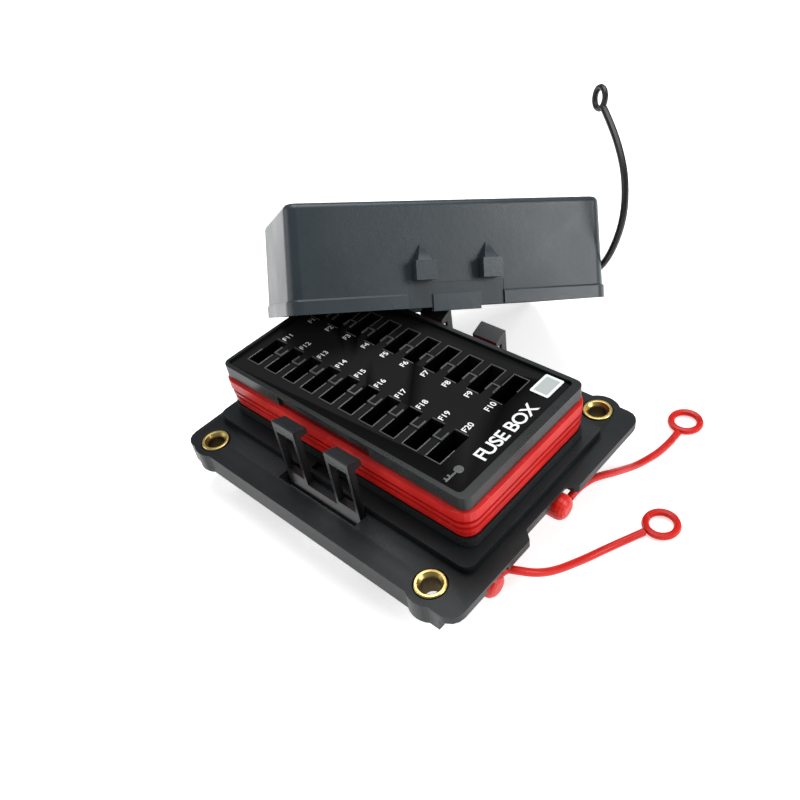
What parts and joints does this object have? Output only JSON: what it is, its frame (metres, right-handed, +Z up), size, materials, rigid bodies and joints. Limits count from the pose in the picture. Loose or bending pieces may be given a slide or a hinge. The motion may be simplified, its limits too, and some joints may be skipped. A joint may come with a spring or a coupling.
{
  "type": "fuse box panel",
  "caption": "Sealed fuse panel on a flanged base with brass-sleeved corner holes, hooked latches, rubber-capped input studs and a deep cover leaned on it.",
  "frame": {"origin": "middle of the fuse module on its underside, which is the surface the panel stands on", "axes": "+X along the fuse rows towards the input studs, +Y to the back, +Z up"},
  "size_m": [0.1836, 0.174, 0.0951],
  "materials": {
    "base_plastic": "near-black moulded nylon, fine grain",
    "module_plastic": "dark grey moulded nylon",
    "face_plastic": "black insert with white printed numbers",
    "cover_plastic": "slate grey moulded plastic, fine grain",
    "latch_plastic": "dark grey moulded nylon",
    "tether_plastic": "black moulded plastic",
    "lock_plastic": "light grey moulded plastic",
    "seal_rubber": "red silicone",
    "cap_rubber": "bright red silicone",
    "brass": "turned brass",
    "copper": "stamped copper alloy",
    "zinc_steel": "zinc plated steel",
    "label_film": "white printed film"
  },
  "bodies": {
    "panel": {"mounting_base": "base_plastic", "bushing_front_left": "brass", "bushing_front_right": "brass", "bushing_back_left": "brass", "bushing_back_right": "brass", "module_housing": "module_plastic", "fuse_block": "face_plastic", "perimeter_seal": "seal_rubber", "bus_bar_front": "copper", "bus_bar_back": "copper", "load_terminal_front_01": "copper", "load_terminal_front_02": "copper", "load_terminal_front_03": "copper", "load_terminal_front_04": "copper", "load_terminal_front_05": "copper", "load_terminal_front_06": "copper", "load_terminal_front_07": "copper", "load_terminal_front_08": "copper", "load_terminal_front_09": "copper", "load_terminal_front_10": "copper", "load_terminal_back_01": "copper", "load_terminal_back_02": "copper", "load_terminal_back_03": "copper", "load_terminal_back_04": "copper", "load_terminal_back_05": "copper", "load_terminal_back_06": "copper", "load_terminal_back_07": "copper", "load_terminal_back_08": "copper", "load_terminal_back_09": "copper", "load_terminal_back_10": "copper", "input_stud_front": "zinc_steel", "input_stud_back": "zinc_steel", "stud_washer_front": "zinc_steel", "stud_washer_back": "zinc_steel", "stud_nut_front": "zinc_steel", "stud_nut_back": "zinc_steel", "rating_label": "label_film"},
    "cover": {"cover": "cover_plastic", "cover_tether": "tether_plastic", "tether_rivet": "tether_plastic"},
    "latch_front": {"latch_front": "latch_plastic"},
    "lock_front": {"terminal_lock_front": "lock_plastic"},
    "stud_cap_front": {"stud_cap_front": "cap_rubber", "cap_strap_front": "cap_rubber", "strap_ring_front": "cap_rubber"},
    "latch_back": {"latch_back": "latch_plastic"},
    "lock_back": {"terminal_lock_back": "lock_plastic"},
    "stud_cap_back": {"stud_cap_back": "cap_rubber", "cap_strap_back": "cap_rubber", "strap_ring_back": "cap_rubber"}
  },
  "joints": [
    {"name": "cover_lift", "type": "slide", "parent": "panel", "child": "cover", "axis": [0, 0, 1], "range_m": [0, 0.1]},
    {"name": "latch_front_flex", "type": "hinge", "parent": "panel", "child": "latch_front", "pos_m": [0, -0.038, 0.0148], "axis": [1, 0, 0], "range_deg": [0, 12], "stiffness_Nm_per_rad": 0.2},
    {"name": "latch_back_flex", "type": "hinge", "parent": "panel", "child": "latch_back", "pos_m": [0, 0.038, 0.0148], "axis": [-1, 0, 0], "range_deg": [0, 12], "stiffness_Nm_per_rad": 0.2},
    {"name": "lock_front_slide", "type": "slide", "parent": "panel", "child": "lock_front", "axis": [0, -1, 0], "range_m": [0, 0.0025]},
    {"name": "lock_back_slide", "type": "slide", "parent": "panel", "child": "lock_back", "axis": [0, 1, 0], "range_m": [0, 0.0025]},
    {"name": "stud_cap_front_pull", "type": "slide", "parent": "panel", "child": "stud_cap_front", "axis": [1, 0, 0], "range_m": [0, 0.012]},
    {"name": "stud_cap_back_pull", "type": "slide", "parent": "panel", "child": "stud_cap_back", "axis": [1, 0, 0], "range_m": [0, 0.012]}
  ]
}
